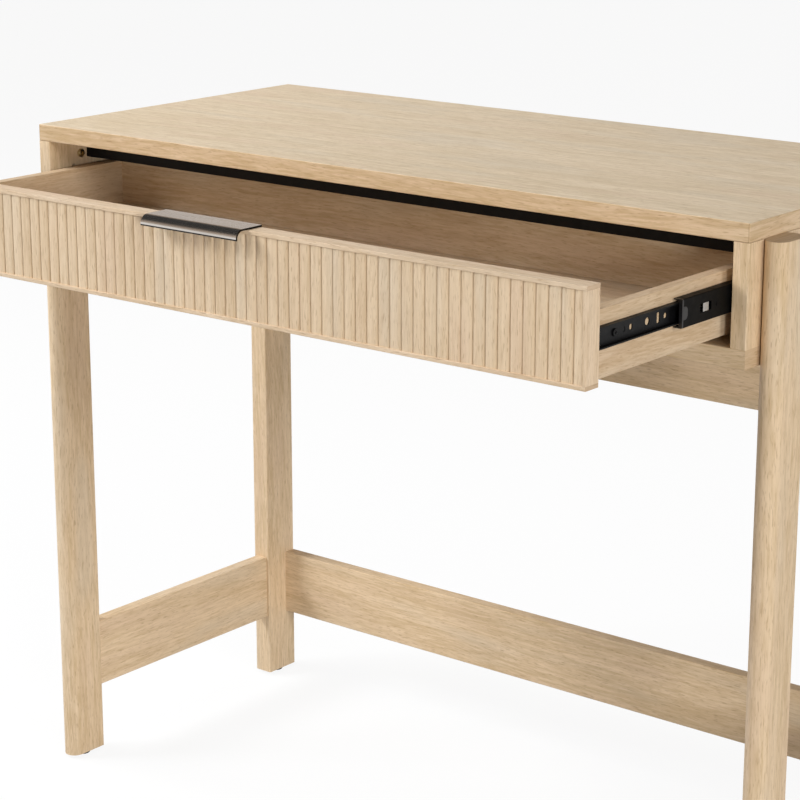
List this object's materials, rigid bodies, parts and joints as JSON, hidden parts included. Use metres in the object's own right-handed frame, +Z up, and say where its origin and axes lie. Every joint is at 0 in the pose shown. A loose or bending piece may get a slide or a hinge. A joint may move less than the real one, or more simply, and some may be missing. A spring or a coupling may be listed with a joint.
{
  "type": "writing desk",
  "caption": "Slim oak writing desk with a wide reeded drawer on telescopic slides, board legs with rounded fronts, low stretchers and a modesty panel.",
  "frame": {"origin": "on the floor, under the middle of the box round the desk with its drawer as pictured", "axes": "+Z up, +X along the width to the right of someone sitting at the desk, front towards -Y"},
  "size_m": [0.948, 0.6482, 0.76],
  "materials": {
    "oak_top": "pale oak, matt, grain along the width",
    "oak_frame": "pale oak, matt",
    "oak_inside": "pale oak, matt",
    "oak_reeds": "pale oak, matt, grain upright",
    "oak_edging": "pale oak, matt",
    "beech_dowel": "raw beech",
    "gunmetal": "brushed dark nickel",
    "black_steel": "black electrocoat",
    "bright_steel": "bright zinc",
    "ball_steel": "polished balls",
    "zinc": "zinc plate",
    "brass_plate": "yellow zinc plate",
    "black_plastic": "moulded black",
    "black_nylon": "black nylon"
  },
  "bodies": {
    "frame": {"back_panel": "oak_frame", "back_stretcher": "oak_frame", "bottom_panel": "oak_frame", "bottom_panel_screws": "zinc", "cabinet_member_screws": "black_steel", "cam_bolts": "zinc", "cam_discs": "zinc", "frame_dowels": "beech_dowel", "left_back_glide": "black_nylon", "left_back_leg": "oak_frame", "left_cabinet_member": "black_steel", "left_front_glide": "black_nylon", "left_front_leg": "oak_frame", "left_side_panel": "oak_frame", "left_side_stretcher": "oak_frame", "leg_bolts": "brass_plate", "leg_inserts": "brass_plate", "right_back_glide": "black_nylon", "right_back_leg": "oak_frame", "right_cabinet_member": "black_steel", "right_front_glide": "black_nylon", "right_front_leg": "oak_frame", "right_side_panel": "oak_frame", "right_side_stretcher": "oak_frame", "support_bar": "black_steel", "support_bar_screws": "black_steel", "tabletop": "oak_top"},
    "drawer": {"drawer_backing": "oak_reeds", "reeded_panel": "oak_reeds", "drawer_top_edging": "oak_edging", "drawer_bottom_edging": "oak_edging", "left_drawer_edging": "oak_edging", "right_drawer_edging": "oak_edging", "left_drawer_side": "oak_inside", "right_drawer_side": "oak_inside", "drawer_back": "oak_inside", "drawer_bottom": "oak_inside", "drawer_dowels": "beech_dowel", "edge_pull": "gunmetal", "edge_pull_screws": "zinc", "left_drawer_member": "black_steel", "right_drawer_member": "black_steel", "drawer_member_screws": "black_steel"},
    "left_middle_slide": {"left_middle_member": "black_steel", "left_slide_stop": "bright_steel", "left_slide_bumper": "black_plastic"},
    "left_outer_cage": {"left_outer_ball_cage": "black_plastic", "left_outer_balls": "ball_steel"},
    "left_inner_cage": {"left_inner_ball_cage": "black_plastic", "left_inner_balls": "ball_steel"},
    "right_middle_slide": {"right_middle_member": "black_steel", "right_slide_stop": "bright_steel", "right_slide_bumper": "black_plastic"},
    "right_outer_cage": {"right_outer_ball_cage": "black_plastic", "right_outer_balls": "ball_steel"},
    "right_inner_cage": {"right_inner_ball_cage": "black_plastic", "right_inner_balls": "ball_steel"}
  },
  "joints": [
    {"name": "drawer_slide", "type": "slide", "parent": "frame", "child": "drawer", "axis": [0, -1, 0], "range_m": [-0.222, 0.068]},
    {"name": "left_middle_slide", "type": "slide", "parent": "frame", "child": "left_middle_slide", "axis": [0, -1, 0], "range_m": [-0.111, 0.034]},
    {"name": "left_outer_cage_run", "type": "slide", "parent": "frame", "child": "left_outer_cage", "axis": [0, -1, 0], "range_m": [-0.0555, 0.017]},
    {"name": "left_inner_cage_run", "type": "slide", "parent": "frame", "child": "left_inner_cage", "axis": [0, -1, 0], "range_m": [-0.1665, 0.051]},
    {"name": "right_middle_slide", "type": "slide", "parent": "frame", "child": "right_middle_slide", "axis": [0, -1, 0], "range_m": [-0.111, 0.034]},
    {"name": "right_outer_cage_run", "type": "slide", "parent": "frame", "child": "right_outer_cage", "axis": [0, -1, 0], "range_m": [-0.0555, 0.017]},
    {"name": "right_inner_cage_run", "type": "slide", "parent": "frame", "child": "right_inner_cage", "axis": [0, -1, 0], "range_m": [-0.1665, 0.051]}
  ],
  "couplings": [
    {"joint": "left_middle_slide", "follows": "drawer_slide", "ratio": 0.5},
    {"joint": "left_outer_cage_run", "follows": "drawer_slide", "ratio": 0.25},
    {"joint": "left_inner_cage_run", "follows": "drawer_slide", "ratio": 0.75},
    {"joint": "right_middle_slide", "follows": "drawer_slide", "ratio": 0.5},
    {"joint": "right_outer_cage_run", "follows": "drawer_slide", "ratio": 0.25},
    {"joint": "right_inner_cage_run", "follows": "drawer_slide", "ratio": 0.75}
  ]
}
